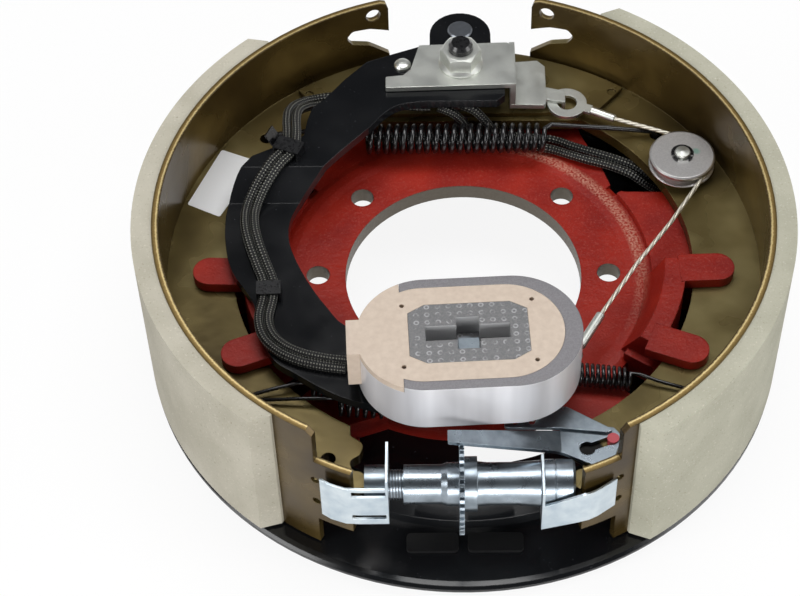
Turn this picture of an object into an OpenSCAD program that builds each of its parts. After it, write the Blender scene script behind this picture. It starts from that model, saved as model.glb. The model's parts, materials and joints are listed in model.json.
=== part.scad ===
// Electric drum brake for a trailer axle, left hand, self adjusting when driven forwards.
// Origin: centre of the mounting flange bore, on the flange's rear face.
// +Z points out of the axle towards the drum, +Y up towards the anchor. All sizes in millimetres.

/* [Shoes and linings] */
// Bore of the drum that the linings run in
drum_d = 311.2; // [308:0.1:316]
// Gap between a new lining and the drum
lining_gap = 0.6; // [0.3:0.1:1.2]
// Thickness of a new lining
lining_t = 9.5; // [8:0.5:11]
// Width of the shoes
shoe_w = 85.7; // [82:0.1:88]
// Amount that each lining edge sits inside the shoe edge
lining_inset = 0.5; // [0:0.1:1.5]
// Thickness of the curved shoe table
table_t = 3.3; // [2.5:0.1:4]
// Thickness of the shoe web
web_t = 6.4; // [5:0.1:7]
// Radial depth of the web inside the table
web_depth = 31.7; // [29:0.1:34]
// Height of the middle of the shoes above the flange's rear face
shoe_mid_z = 15.9; // [15:0.1:17]
// Angle at which the lining of the primary shoe begins, at its top end
primary_lining_top = 131; // [126:1:138]
// Angle at which the lining of the primary shoe ends
primary_lining_end = 234.5; // [228:0.5:236]
// Angle of the top end of the lining of the secondary shoe, from the left
secondary_lining_top = 119; // [116:1:130]
// Angle of the bottom end of the lining of the secondary shoe, from the left
secondary_lining_end = 239.5; // [235:0.5:241]
// Arc taken by the chamfer on each lining end
lining_chamfer = 2.5; // [1:0.1:4]

/* [Mounting flange and spider] */
// Bore of the mounting flange
axle_bore_d = 114.3; // [110:0.1:118]
// Thickness of the mounting flange
flange_t = 8.5; // [7:0.1:10]
// Radius of the cast disc round the bore
disc_r = 93; // [90:1:97]
// Diameter of the circle of mounting bolts
bolt_circle_d = 141; // [138:0.1:144]
// Diameter of a mounting bolt hole
bolt_hole_d = 11.3; // [10:0.1:12.5]
// Gap between the shoe web and the cast pads or lugs
web_gap = 0.45; // [0.3:0.05:0.8]
// Thickness of a cast lug that holds the web down
lug_t = 5.5; // [4.5:0.1:6]
// Half the width of a cast lug
lug_r = 8.2; // [7:0.1:9]

/* [Dust shield] */
// Thickness of the shield sheet
shield_t = 1.6; // [1.2:0.1:2]
// Radius of the hole in the middle of the shield
shield_hole_r = 85; // [82:0.5:90]
// Radius of the circle of shield screws
shield_screw_r = 106; // [104:0.5:108]
// Radius of the shield's rim
shield_r = 154.7; // [153:0.1:156]
// Depth of the shield's inner flange behind the mounting face
shield_flange_z = 10; // [8:0.5:12]
// Depth of the flat of the shield behind the mounting face
shield_flat_z = 28.2; // [28:0.1:29]
// Drop of the rolled rim below the flat of the shield
rim_drop = 1.5; // [1:0.1:3]

/* [Anchor and actuating arm] */
// Height of the anchor above the axle centre
anchor_y = 109; // [107:0.5:111]
// Diameter of the anchor post that the webs bear on
anchor_d = 30; // [28:0.5:32]
// Diameter of the anchor stud
stud_d = 12; // [10:0.5:12]
// Thickness of the shoe guide plate
guide_t = 2.5; // [2:0.1:3]
// Thickness of the actuating arm
arm_t = 4.8; // [4:0.1:5]
// Height of the rear of the arm, at the anchor
arm_high_z = 35.2; // [34.5:0.1:36]
// Height of the rear of the arm, at the magnet
arm_low_z = 26.4; // [26.2:0.1:27]
// Diameter of the bushing that the arm swings on
bushing_d = 20; // [18:0.1:22]
// Radial running clearance of the arm and the magnet on their pins
run_gap = 0.06; // [0.03:0.01:0.1]
// Distance from the arm's pivot to the pin that spreads the shoes
spread_pin_y = 27.5; // [26.5:0.1:28]
// Diameter of the pin that spreads the shoes
spread_pin_d = 13; // [12:0.1:14]
// Free travel between the spreading pin and each web
spread_gap = 1.9; // [1.8:0.1:2.5]
// Thickness of the plated cable bracket
bracket_t = 2.8; // [2:0.1:3]

/* [Magnet] */
// Length of the magnet
magnet_l = 100.8; // [98:0.1:104]
// Shift of the magnet's middle from its pin
magnet_shift = 1.6; // [0:0.1:2]
// Width of the magnet
magnet_w = 62; // [60:1:64]
// Height of the magnet
magnet_h = 27.6; // [26:0.1:29]
// Distance of the magnet below the axle centre
magnet_y = 77.5; // [76:0.5:79]
// Height of the rear of the magnet
magnet_z = 34.4; // [34:0.1:35]
// Diameter of the pin that carries the magnet
magnet_pin_d = 10; // [8:0.5:12]
// Turn of the magnet on its pin
magnet_turn = 2.8; // [0:0.1:4]

/* [Adjuster] */
// Distance of the adjuster below the axle centre
adjuster_y = 127.2; // [126.8:0.1:127.6]
// Diameter of the star wheel over its teeth
star_d = 45.2; // [43:0.2:45.6]
// Number of teeth on the star wheel
star_teeth = 40; // [30:2:44]
// Diameter of the adjuster's thread
screw_d = 13; // [12:0.1:14]
// Radial clearance inside the adjuster
screw_gap = 0.08; // [0.03:0.01:0.1]
// Diameter of the threaded sleeve
sleeve_d = 17.6; // [17:0.1:18.5]
// Free length between the fork's slot and the primary web
fork_gap = 2.4; // [2.2:0.1:3]
// Thickness of the two adjuster clips
clip_t = 1.2; // [0.8:0.1:1.6]
// Thickness of the adjusting lever
lever_t = 2; // [1.5:0.1:2.4]

/* [Springs, cable and leads] */
// Outer diameter of the upper retractor spring
retractor_d = 15.4; // [14:0.1:15.6]
// Wire of the upper retractor spring
retractor_wire = 2.5; // [2:0.1:2.8]
// Outer diameter of the two lower springs
lower_spring_d = 11.4; // [11:0.1:11.8]
// Wire of the two lower springs
lower_wire = 1.8; // [1.4:0.1:2]
// Diameter of the adjusting cable
cable_d = 2; // [1.5:0.1:2.4]
// Diameter of the cable guide wheel
guide_wheel_d = 32.4; // [30:0.1:33]
// Diameter of each braided magnet lead
lead_d = 4.5; // [4:0.1:5.2]

/* [Hidden] */

$fn = 96;
eps = 0.01;

// Shoe radii and heights
lining_r = drum_d / 2 - lining_gap;
table_r = lining_r - lining_t;
table_in = table_r - table_t;
web_in = table_in - web_depth;
shoe_low = shoe_mid_z - shoe_w / 2;
shoe_top = shoe_mid_z + shoe_w / 2;
web_low = shoe_mid_z - web_t / 2;
web_top = shoe_mid_z + web_t / 2;

// Ends of the shoe table, from the left and seen from the drum
table_start = 104.9;
table_end = 242.5;

// Spider heights
pad_top = web_low - web_gap;
lug_low = web_top + web_gap;
lug_top = lug_low + lug_t;
boss_low = -shield_flange_z;

// Anchor stack
guide_low = web_top + web_gap;
guide_top = guide_low + guide_t;
arm_high_top = arm_high_z + arm_t;
arm_low_top = arm_low_z + arm_t;
bushing_top = arm_high_top + 0.5;
bracket_low = bushing_top;
bracket_top = bracket_low + bracket_t;
bracket_low_tab = 25.8;
spread_y = anchor_y + spread_pin_y;
stud_gap = 0.2;

// Magnet
magnet_top = magnet_z + magnet_h;
coil_floor = magnet_z + 11.5;

// Points that parts share
spring_hole = [98.5, 81];
lower_hole_left = [-104.5, -83.6];
lower_hole_right = [104.5, -81.2];
lever_hole = [-97.4, -84.4];
lever_pin_at = [65.6, -107.7];
hook_at = [30, -97];
spring_end_at = [22.4, -97];
wheel_at = [109, 57.5];
wheel_low = 22.6;
wheel_top = 30;
wheel_groove_z = 26.2;
wheel_groove_r = 13.2;
rivet_at = [-29.4, 111];
label_at = [-119.6, 51];

function unit(v) = v / norm(v);

// A closed outline with every corner rounded to its own radius.
function rounded(points, radius, steps = 5) = let (n = len(points)) [
    for (i = [0 : n - 1])
        let (here = points[i], u = unit(points[(i + n - 1) % n] - here), w = unit(points[(i + 1) % n] - here),
            r = is_list(radius) ? radius[i] : radius, t = r / tan(acos(u * w) / 2))
        each (r <= 0 ? [here] : [for (k = [0 : steps]) let (f = k / steps)
            (1 - f) * (1 - f) * (here + u * t) + 2 * f * (1 - f) * here + f * f * (here + w * t)])
];

// A smooth curve through the given points, in the plane or in space.
function smooth(points, steps = 4) = let (n = len(points)) concat([
    for (i = [0 : n - 2], k = [0 : steps - 1])
        let (a = points[max(i - 1, 0)], b = points[i], c = points[i + 1], d = points[min(i + 2, n - 1)], f = k / steps)
        0.5 * (2 * b + (c - a) * f + (2 * a - 5 * b + 4 * c - d) * f * f + (3 * b - a - 3 * c + d) * f * f * f)
], [points[n - 1]]);

// Directions along a path, and side vectors carried along it without twist.
function directions(path) = let (n = len(path)) [
    for (i = [0 : n - 1]) unit(path[min(i + 1, n - 1)] - path[max(i - 1, 0)])
];
function carried(dirs, side, i = 0) = i == len(dirs) ? []
    : let (s = unit(side - (side * dirs[i]) * dirs[i])) concat([s], carried(dirs, s, i + 1));

// A round wire or lead that follows a path in space.
module tube(path, d, sides) {
    dirs = directions(path);
    first = abs(dirs[0][2]) < 0.9 ? [0, 0, 1] : [1, 0, 0];
    side_a = carried(dirs, first);
    n = len(path);
    points = [for (i = [0 : n - 1], k = [0 : sides - 1])
        let (a = 360 * k / sides, side_b = cross(dirs[i], side_a[i]))
        path[i] + d / 2 * (cos(a) * side_a[i] + sin(a) * side_b)];
    walls = [for (i = [0 : n - 2], k = [0 : sides - 1])
        let (a = i * sides + k, b = i * sides + (k + 1) % sides)
        [a, a + sides, b + sides, b]];
    caps = [[for (k = [0 : sides - 1]) k], [for (k = [sides - 1 : -1 : 0]) (n - 1) * sides + k]];
    polyhedron(points, concat(walls, caps));
}

// Points of a coil between two points, starting and ending on the given side.
function coil(from, to, mean_r, turns, per_turn, start = 90) = let (
    axis = unit(to - from), up = unit([0, 0, 1] - axis[2] * axis), across = cross(axis, up), n = round(turns * per_turn)) [
    for (i = [0 : n]) let (a = start + 360 * i / per_turn)
        from + (to - from) * i / n + mean_r * (sin(a) * up + cos(a) * across)
];

// A part of a ring between two angles, with a rectangular section.
module ring_part(r_in, r_out, z_low, z_high, from, to) {
    rotate([0, 0, from])
        rotate_extrude(angle = to - from, $fn = 180)
            polygon([[r_in, z_low], [r_out, z_low], [r_out, z_high], [r_in, z_high]]);
}

// Cuts a flat shape, drawn in arc length and height, out through the shoe table at an angle.
module through_table(angle) {
    rotate([0, 0, angle])
        translate([table_in - 12, 0, 0])
            rotate([90, 0, 90])
                linear_extrude(24)
                    children();
}

// A flat plate with a given outline.
module plate(points, z_low, z_high) {
    translate([0, 0, z_low])
        linear_extrude(z_high - z_low)
            polygon(points);
}

// An upright round bar, or the cutter for a hole.
module bar(at, r, z_low, z_high) {
    translate([at[0], at[1], z_low])
        cylinder(h = z_high - z_low, r = r);
}

// Spider: one iron casting with the mounting flange, web pads and lugs
module spider_lug(at, heading, length) {
    translate([at[0], at[1], lug_low])
        rotate([0, 0, heading]) {
            cylinder(h = lug_t, r = lug_r);
            translate([-length, -lug_r, 0])
                cube([length, 2 * lug_r, lug_t]);
        }
}

module spider_pad(from, to) {
    ring_part(disc_r - 2, web_in + 9, 0, pad_top, from, to);
}

// One side of the spider: the wall that carries both lugs, and the pads under the web.
module spider_side() {
    wall_in = disc_r + 3.5;
    wall_out = web_in - 4;
    rotate([0, 0, -32.6])
        rotate_extrude(angle = 30, $fn = 180)
            polygon([[disc_r - 6, flange_t - 0.5], [wall_in, lug_top - 0.3], [wall_out, lug_top - 0.3], [wall_out, 0],
                [disc_r - 6, 0]]);
    spider_lug([web_in + 10.2, -10.5], 2, 18);
    spider_lug([web_in - 6, -59.5], -22, 20);
    difference() {
        union() {
            spider_pad(-35, -26);
            spider_pad(-9, 32);
            spider_pad(-68, -45);
            ring_part(disc_r - 3.4, wall_out - 0.4, 0, flange_t + 0.2, -20, 33);
        }
        plate(rounded([[71, 72], [75, 56.6], [79.4, 49], [web_in + 20, 48.4], [web_in + 20, 72]], [0, 4, 4, 0, 0]), -1,
            pad_top + 1);
        plate([[30, -83.7], [41, -87.7], [57.7, -93.7], [72, -98.8], [72, -130], [30, -130]], -1, pad_top + 1);
    }
    linear_extrude(flange_t)
        intersection() {
            circle(r = anchor_y + anchor_d / 2, $fn = 180);
            polygon(rounded([[-1, 80], [-1, 130], [52, 130], [61.5, 91], [70.4, 70.2], [74.6, 57], [68, 50]],
                [0, 0, 0, 6, 6, 0, 0]));
        }
}

module spider_boss(angle) {
    rotate([0, 0, angle]) {
        translate([shield_screw_r, 0, boss_low])
            cylinder(h = -boss_low + 1, r = 7);
        translate([disc_r - 9, -3, boss_low + 4])
            cube([18, 6, -boss_low - 3]);
    }
}

shield_screw_angles = [-58, 18, 162, 238];

module spider() {
    ridge_r = 86;
    color("#8f2a25")
        difference() {
            union() {
                rotate_extrude($fn = 180)
                    polygon([[axle_bore_d / 2, 0], [disc_r, 0], [disc_r, flange_t - 1.5], [disc_r - 3, flange_t],
                        [ridge_r + 1, flange_t + 0.4], [ridge_r - 3, flange_t + 0.4], [ridge_r - 7, flange_t],
                        [axle_bore_d / 2, flange_t]]);
                spider_side();
                mirror([1, 0, 0])
                    spider_side();
                ring_part(anchor_y + 1, anchor_y + anchor_d / 2 - 0.5, flange_t - 1, pad_top, 64, 76);
                ring_part(anchor_y + 1, anchor_y + anchor_d / 2 - 0.5, flange_t - 1, pad_top, 104, 116);
                translate([0, anchor_y, boss_low])
                    cylinder(h = -boss_low + 1, r = anchor_d / 2 - 1);
                for (a = shield_screw_angles)
                    spider_boss(a);
            }
            for (a = [0 : 45 : 359])
                if (a != 90)
                    rotate([0, 0, a])
                        bar([bolt_circle_d / 2, 0], bolt_hole_d / 2, -1, flange_t + 5);
            bar([0, anchor_y], stud_d / 2 + stud_gap, boss_low - 1, flange_t + 1);
            for (a = shield_screw_angles)
                rotate([0, 0, a])
                    bar([shield_screw_r, 0], 3.05, boss_low - 1, 1);
        }
}

// Dust shield with its screws and rubber plugs
slot_left = [-15.8, -shield_screw_r - 24.6, 20.8, 6.6];
slot_right = [13.2, -shield_screw_r - 24.6, 22.5, 6.6];
shield_notch_r = 100;
stud_head_r = 10.4;

module slot_block(slot, grow, z_low, z_high) {
    w = slot[2] + 2 * grow;
    h = slot[3] + 2 * grow;
    plate(rounded([for (c = [[-1, -1], [1, -1], [1, 1], [-1, 1]])
        [slot[0] + c[0] * w / 2, slot[1] + c[1] * h / 2]], 2.5), z_low, z_high);
}

grommet_at = [110.6, 71];
grommet_r = 6.6;

module dust_shield() {
    flat = -shield_flat_z;
    color("#141416")
        difference() {
            rotate_extrude($fn = 180)
                polygon([[shield_hole_r, boss_low], [shield_screw_r + 7, boss_low], [shield_screw_r + 9, boss_low - 2],
                    [shield_screw_r + 13.5, flat + 2], [shield_screw_r + 16, flat], [shield_r - 4, flat],
                    [shield_r - 1.6, flat - 0.4], [shield_r, flat - rim_drop], [shield_r, flat - rim_drop - shield_t],
                    [shield_r - 2, flat - 0.6 - shield_t], [shield_r - 4.4, flat - shield_t],
                    [shield_screw_r + 15, flat - shield_t], [shield_screw_r + 12, flat + 1],
                    [shield_screw_r + 7.4, boss_low - 2 - shield_t / 2], [shield_screw_r + 6, boss_low - shield_t],
                    [shield_hole_r, boss_low - shield_t]]);
            ring_part(shield_hole_r - 1, shield_notch_r, boss_low - 4, boss_low + 1, -91.5, -62);
            slot_block(slot_left, 0, flat - 4, flat + 4);
            slot_block(slot_right, 0, flat - 4, flat + 4);
            bar(grommet_at, grommet_r, flat - 6, flat + 8);
            bar([0, anchor_y], stud_head_r + 0.6, flat - 6, boss_low + 2);
            for (a = shield_screw_angles)
                rotate([0, 0, a])
                    bar([shield_screw_r, 0], 3.4, boss_low - 4, boss_low + 2);
        }
}

module shield_screws() {
    color("#8d9094")
        for (a = shield_screw_angles)
            rotate([0, 0, a])
                translate([shield_screw_r, 0, boss_low - shield_t]) {
                    cylinder(h = shield_t + 8, r = 3);
                    translate([0, 0, -4.6])
                        cylinder(h = 4.6, r = 5.6, $fn = 6);
                    translate([0, 0, -1])
                        cylinder(h = 1, r = 5.9);
                }
}

module adjusting_slot_plugs() {
    color("#1b1b1d")
        for (s = [slot_left, slot_right]) {
            slot_block(s, 1.6, -shield_flat_z, -shield_flat_z + 1.8);
            slot_block(s, -0.2, -shield_flat_z - shield_t - 0.4, -shield_flat_z + 1);
        }
}

// Anchor: post, stud, guide plate, spacer, bushing, bracket and nut
module anchor_post() {
    color("#6f7276")
        difference() {
            union() {
                bar([0, anchor_y], anchor_d / 2, flange_t, guide_low);
                bar([0, anchor_y], anchor_d / 2 - 1, guide_low - 1, guide_low);
            }
            bar([0, anchor_y], stud_d / 2 + stud_gap, flange_t - 1, guide_low + 1);
        }
}

module anchor_stud() {
    color("#2b2c2f")
        translate([0, anchor_y, 0]) {
            translate([0, 0, boss_low - 8])
                cylinder(h = 8, r = stud_head_r, $fn = 6);
            translate([0, 0, boss_low - 1])
                cylinder(h = bracket_top + 14.2 - boss_low, r = stud_d / 2);
            translate([0, 0, bracket_top + 13.2])
                cylinder(h = 1.6, r1 = stud_d / 2, r2 = stud_d / 2 - 1.4);
        }
}

module shoe_guide_plate() {
    outer = table_in - 2.7;
    left_end = 126.6;
    right_end = 53.6;
    spread_r = spread_pin_d / 2 + spread_gap;
    color("#6d5a2e")
        difference() {
            intersection() {
                plate([[-71, 97.5], [-84.5, 113.5], [-60, 150], [60, 150], [84.5, 113.5], [71, 97.5], [40, 94.5],
                    [-40, 94.5]], guide_low, guide_top);
                cylinder(h = guide_top + 1, r = outer, $fn = 180);
            }
            bar([0, anchor_y], stud_d / 2 + stud_gap, guide_low - 1, guide_top + 1);
            bar([0, spread_y], spread_r, guide_low - 1, guide_top + 1);
            translate([-spread_r, spread_y, guide_low - 1])
                cube([2 * spread_r, 20, guide_t + 2]);
            for (s = [-1, 1])
                bar([s * 77.5, 109], 2.3, guide_top - 1, guide_top + 1);
        }
}

module arm_spacer() {
    color("#77797c")
        difference() {
            bar([0, anchor_y], 13, guide_top, arm_high_z - 0.3);
            bar([0, anchor_y], stud_d / 2 + stud_gap, guide_top - 1, arm_high_z + 1);
        }
}

module arm_bushing() {
    color("#a58a4a")
        difference() {
            bar([0, anchor_y], bushing_d / 2, arm_high_z - 0.3, bushing_top);
            bar([0, anchor_y], stud_d / 2 + stud_gap, arm_high_z - 1, bushing_top + 1);
        }
}

module cable_bracket() {
    bend_x = 25.2;
    tab_top = bracket_low_tab + bracket_t;
    color("#b9bbb4")
        difference() {
            union() {
                plate(rounded([[-37.8, 92.3], [bend_x, 94.2], [bend_x, 124], [-21, 122.3], [-25.3, 105.2], [-29, 101],
                    [-37.8, 100]], [1, 0.5, 2.5, 1, 3, 2, 1]), bracket_low, bracket_top);
                translate([bend_x - 0.4, 94.2, bracket_low_tab])
                    cube([bracket_t, 29.8, bracket_top - bracket_low_tab]);
                plate(rounded([[bend_x - 0.4, 94.2], [42.6, 93.6], [43.4, 97], [43.4, 121], [39.5, 125.4],
                    [bend_x - 0.4, 124]], [0.5, 1, 1, 1, 1, 0.5]), bracket_low_tab, tab_top);
                plate(rounded([[42, 98], [53, 95.7], [53, 103.6], [42, 106.6]], 0.8), bracket_low_tab + 0.9, tab_top - 0.1);
                translate([51.3, 95.9, bracket_low_tab - 3.4])
                    cube([1.6, 3.4, 5.4]);
            }
            bar([0, anchor_y], stud_d / 2 + stud_gap, bracket_low - 1, bracket_top + 1);
            translate([bend_x + bracket_t + 1, 90, tab_top])
                cube([2, 1, 1]);
        }
}

module pivot_nut() {
    flange_r = 11.2;
    color("#c9cbcc")
        translate([0, anchor_y, bracket_top])
            difference() {
                union() {
                    rotate_extrude()
                        polygon([[5, 0], [flange_r, 0], [flange_r, 1.2], [9.4, 2.6], [5, 2.6]]);
                    intersection() {
                        cylinder(h = 10.5, r = 18 / sqrt(3), $fn = 6);
                        rotate_extrude()
                            polygon([[0, 0], [11, 0], [11, 9], [8.6, 10.5], [0, 10.5]]);
                    }
                }
                translate([0, 0, -1])
                    cylinder(h = 13, r = stud_d / 2 + stud_gap / 4);
            }
}

// Shoes: each a curved table with a web that ends at the anchor and in the adjuster
nose_r = 5.4;

module web_outline(nose_x) {
    spread_r = spread_pin_d / 2 + spread_gap;
    difference() {
        intersection() {
            circle(r = table_in + 1, $fn = 180);
            union() {
                difference() {
                    polygon([[-200, -108.5], [-52, -108.5], [-60, 92], [-60, 200], [-200, 200]]);
                    circle(r = web_in, $fn = 180);
                }
                polygon([[-62, 92], [-3.5, 92], [-3.5, 160], [-90, 160], [-75, 92]]);
                polygon(rounded([[-80, -100], [-53.2, -102], [-46, -107.6], [-48, -113.4], [-53, -116.5],
                    [-51.5, -adjuster_y + 6.6], [-nose_x - nose_r, -adjuster_y + 5.1],
                    [-nose_x - nose_r, -adjuster_y - 5.1], [-60, -160], [-80, -160]], [0, 4, 4, 3, 4, 0, 0, 0, 0, 0]));
                translate([-nose_x - nose_r, -adjuster_y])
                    circle(r = nose_r);
            }
        }
        translate([0, anchor_y])
            circle(r = anchor_d / 2 + 0.3);
        translate([0, spread_y])
            circle(r = spread_r);
        translate([-spring_hole[0], spring_hole[1]])
            circle(r = retractor_wire / 2 + 2);
    }
}

// The left shoe. The right one is its mirror image with its own holes.
module shoe_body(nose_x) {
    tongue_low = shoe_mid_z - 24;
    tongue_top = shoe_mid_z + 21;
    difference() {
        union() {
            ring_part(table_in, table_r, shoe_low, shoe_top, table_start, table_end + 6.9);
            translate([0, 0, web_low])
                linear_extrude(web_t)
                    web_outline(nose_x);
        }
        // Only a tongue goes on past the table's end
        ring_part(table_in - 2, table_r + 2, tongue_top, shoe_top + 1, table_end, table_end + 9);
        ring_part(table_in - 2, table_r + 2, shoe_low - 1, tongue_low, table_end, table_end + 9);
        // Open notch, hole and rounded corner at the anchor end
        through_table(table_start + 4)
            polygon(rounded([[-22, shoe_mid_z + 3], [-9.9, shoe_mid_z + 7], [0.3, shoe_mid_z + 15.7],
                [10, shoe_mid_z + 19.6], [13, shoe_mid_z + 25], [9.5, shoe_mid_z + 28.6], [0, shoe_mid_z + 27.4],
                [-9.9, shoe_mid_z + 23.5], [-12, shoe_mid_z + 21], [-22, shoe_mid_z + 21]],
                [0, 0, 6, 3, 3, 3, 6, 2, 0, 0]));
        through_table(table_start + 3.2)
            translate([0, shoe_mid_z + 36])
                circle(r = 3.9);
        through_table(table_start)
            polygon([[-3, shoe_top - 4], [0, shoe_top - 4], [1, shoe_top - 1.2], [3.8, shoe_top], [3.8, shoe_top + 2],
                [-3, shoe_top + 2]]);
        // Rounded step at the adjuster end
        through_table(table_end)
            polygon([[-4, shoe_top + 1], [3, shoe_top + 1], [3, shoe_top - 6]]);
        through_table(table_end)
            for (z = [6.8, -9.8])
                translate([-0.2, shoe_mid_z + z])
                    circle(r = 2);
        bar([-77, 111], 3, web_low - 1, web_top + 1);
    }
}

module primary_shoe() {
    color("#6a5a2c")
        difference() {
            shoe_body(44.6);
            bar(lower_hole_left, lower_wire / 2 + 1.6, web_low - 1, web_top + 1);
            bar(lever_hole, lower_wire / 2 + 1.6, web_low - 1, web_top + 1);
            bar([-62, -115.3], 3.4, web_low - 1, web_top + 1);
        }
}

module secondary_shoe() {
    color("#6a5a2c")
        difference() {
            mirror([1, 0, 0])
                shoe_body(46.2);
            bar(lower_hole_right, lower_wire / 2 + 1.6, web_low - 1, web_top + 1);
            bar(lever_pin_at, 2.55, web_low - 1, web_top + 1);
            bar(wheel_at, 3.55, web_low - 1, web_top + 1);
        }
}

// A lining bonded to a shoe table, with chamfered ends.
module lining(from, to) {
    low = shoe_low + lining_inset;
    high = shoe_top - lining_inset;
    difference() {
        ring_part(table_r, lining_r, low, high, from, to);
        for (e = [[from, 1], [to, -1]])
            rotate([0, 0, e[0]])
                translate([0, 0, low - 1])
                    linear_extrude(high - low + 2)
                        polygon([[table_r + 1.5, -0.1 * e[1]], [lining_r + 3, -0.1 * e[1]],
                            [lining_r + 3, e[1] * lining_r * tan(lining_chamfer) * 1.3], [table_r + 1.5, 0]]);
    }
}

module primary_lining() {
    color("#b3ac9a")
        lining(primary_lining_top, primary_lining_end);
}

module secondary_lining() {
    color("#a9a698")
        mirror([1, 0, 0])
            lining(secondary_lining_top, secondary_lining_end);
}

// Springs, each one wire with its hooks
retractor_turns = 22;

module retractor_spring() {
    y = 77;
    z = 22.3;
    ends = [-49, 41.8];
    mean = (retractor_d - retractor_wire) / 2;
    hook_z = web_low - 1.5;
    over = web_top + 3.6;
    hook = [for (p = [[0, hook_z], [0, web_top - 1], [-2.2, over - 1], [-9, over + 0.6], [-24, over + 3.4]])
        [spring_hole[0] + p[0], spring_hole[1] - (p[0] < -5 ? 0.06 * -p[0] : 0), p[1]]];
    right = concat([[ends[1] + 3.5, y + 2.5, z + mean + 0.3]], [for (i = [4 : -1 : 0]) hook[i]]);
    left = concat([for (i = [0 : 4]) [-hook[i][0], hook[i][1], hook[i][2]]],
        [[ends[0] - 3.5, y + 2.5, z + mean + 0.3]]);
    body = coil([ends[0], y, z], [ends[1], y, z], mean, retractor_turns, 10);
    color("#1c1c1f")
        tube(concat(left, body, right), retractor_wire, 6);
}

module shoe_spring() {
    from = [-71.5, -76.2, 19];
    to = [75.5, -72.2, 18.6];
    mean = (lower_spring_d - lower_wire) / 2;
    bow = 7;
    n = 60 * 6;
    straight = coil(from, to, mean, 60, 6);
    body = [for (i = [0 : n]) straight[i] + [0, 4 * bow * (i / n) * (1 - i / n), 0]];
    left = [[lower_hole_left[0], lower_hole_left[1], web_low - 1], [lower_hole_left[0], lower_hole_left[1], web_top],
        [lower_hole_left[0] + 2, lower_hole_left[1] + 1, web_top + 2.2], [-86, -78.4, 22.8], [-77, -76.6, 23.8]];
    right = [[80, -73, 23.4], [88, -76.2, 22.6], [lower_hole_right[0] - 2, lower_hole_right[1] + 0.8, web_top + 2.2],
        [lower_hole_right[0], lower_hole_right[1], web_top], [lower_hole_right[0], lower_hole_right[1], web_low - 1]];
    color("#232326")
        tube(concat(left, body, right), lower_wire, 5);
}

module lever_spring() {
    from = [-59.2, -86, 20];
    to = [-37, -87.5, 20];
    mean = (lower_spring_d - lower_wire) / 2;
    left = [[lever_hole[0], lever_hole[1], web_low - 1], [lever_hole[0], lever_hole[1], web_top],
        [lever_hole[0] + 2, lever_hole[1] + 0.2, web_top + 2.2], [-74, -84.8, 23.2], [-64, -85.8, 24.6]];
    right = [[-32, -88.5, 24.8], [-12, -91.8, 24.6], [8, -95, 25], [18.6, -96.2, 25.2], [21.6, -96.8, 24.4],
        [spring_end_at[0], spring_end_at[1], 22.6], [spring_end_at[0], spring_end_at[1], 20.6]];
    body = coil(from, to, mean, 6, 8);
    color("#232326")
        tube(concat(left, body, right), lower_wire, 6);
}

// Actuating arm with its pins and the magnet spring
arm_outer_top = [[-21.6, 124.4], [-33.5, 119.8], [-47.7, 113.9], [-58.5, 101.5], [-67.4, 89.2],
    [-74.3, 81.8], [-76.4, 73], [-77.8, 63.5], [-80.4, 60.4], [-92, 55.5], [-102.5, 50]];
arm_outer_side = [[-102.5, 50], [-109.5, 39], [-113.6, 25], [-114.3, 10], [-112.6, -5], [-109, -17], [-103, -27],
    [-98.2, -36], [-95.8, -47], [-92.6, -58.5], [-87, -69.5], [-77.5, -76.5], [-66, -84.4], [-52.4, -91.5],
    [-30, -97.5], [-8, -95.5]];
arm_end = [[-8, -95.5], [7, -93.6], [15.8, -85.5], [17.4, -75], [12, -64.6], [0, -60], [-14, -58.6]];
arm_inner = [[-14, -58.6], [-36, -56.5], [-55, -49.5], [-64, -38.5], [-72, -25.6], [-79, -11], [-83.2, 2],
    [-83.4, 14], [-79.6, 25.6], [-73.6, 34.6], [-60.4, 51.6], [-46, 68], [-38, 78.4], [-30, 84], [-18, 86]];

module actuating_arm() {
    tab_r = 15.6;
    high_from = 44;
    low_from = 28;
    outline = concat([[18, 86], [22, 90], [22, 118], [tab_r, 122], [tab_r, spread_y - 3]],
        [for (a = [0 : 12 : 180]) [tab_r * cos(a), spread_y - 3 + tab_r * sin(a)]],
        [[-tab_r, 126]], arm_outer_top, smooth(arm_outer_side, 3), smooth(arm_end, 3), smooth(arm_inner, 3));
    bend = [[-110, arm_low_z], [low_from, arm_low_z], [high_from, arm_high_z], [160, arm_high_z],
        [160, arm_high_top], [high_from - 1.5, arm_high_top], [low_from - 1.5, arm_low_top], [-110, arm_low_top]];
    color("#17181a")
        difference() {
            intersection() {
                plate(outline, arm_low_z - 1, arm_high_top + 1);
                translate([-130, 0, 0])
                    rotate([90, 0, 90])
                        linear_extrude(160)
                            polygon(bend);
            }
            bar([0, anchor_y], bushing_d / 2 + run_gap, arm_high_z - 1, arm_high_top + 1);
            bar([0, spread_y], spread_pin_d / 2 - 2.5, arm_high_z - 1, arm_high_top + 1);
            bar(rivet_at, 2.5, arm_high_z - 1, arm_high_top + 1);
            bar([0, -magnet_y], magnet_pin_d / 2 - 1, arm_low_z - 1, arm_low_top + 1);
        }
}

module spreading_pin() {
    color("#8b8d90") {
        bar([0, spread_y], spread_pin_d / 2, pad_top + 0.4, arm_high_z);
        bar([0, spread_y], spread_pin_d / 2 - 2.5, arm_high_z - 1, arm_high_top + 0.4);
        translate([0, spread_y, arm_high_top])
            cylinder(h = 0.9, r1 = spread_pin_d / 2, r2 = spread_pin_d / 2 - 0.8);
    }
}

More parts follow.
